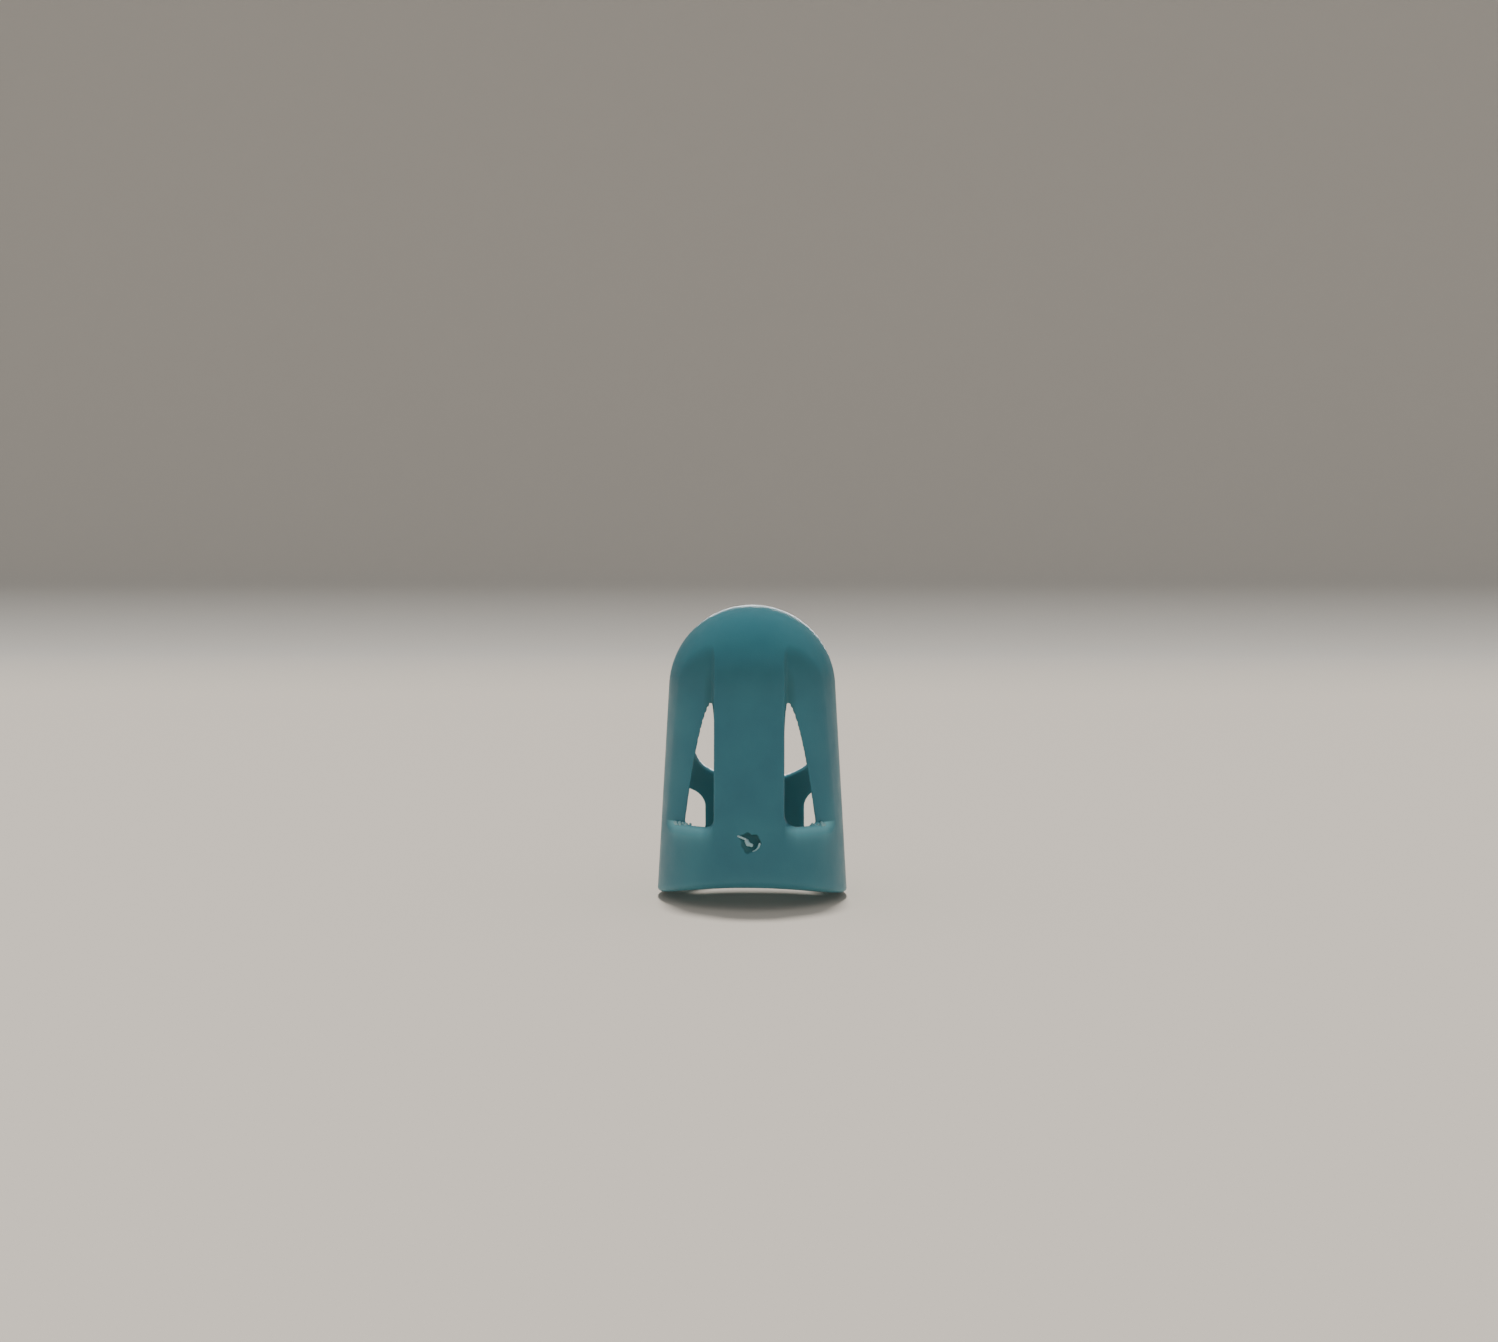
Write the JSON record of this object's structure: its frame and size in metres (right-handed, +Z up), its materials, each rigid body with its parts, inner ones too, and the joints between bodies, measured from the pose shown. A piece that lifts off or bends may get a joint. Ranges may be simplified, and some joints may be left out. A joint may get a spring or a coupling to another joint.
{
  "type": "guitar fingertip cap",
  "caption": "Soft plastic fingertip cap with a closed domed tip, a solid pad strip between front windows, and an open nail side above a ring at the open end.",
  "frame": {"origin": "centre of the open end, on the plane that the rim stands on", "axes": "+Z up the cap from the open end to the domed tip; -Y towards the pad strip on the string side; +Y towards the nail opening; +X to the right seen from the string side"},
  "size_m": [0.0182, 0.0181, 0.028],
  "materials": {
    "cap_plastic": "satin"
  },
  "bodies": {
    "root": {"base_ring": "cap_plastic", "pad_strip": "cap_plastic", "side_panel_left": "cap_plastic", "side_panel_right": "cap_plastic", "tip_dome": "cap_plastic", "nail_bridge": "cap_plastic", "rear_panel": "cap_plastic", "gate_vestige": "cap_plastic"}
  },
  "joints": []
}
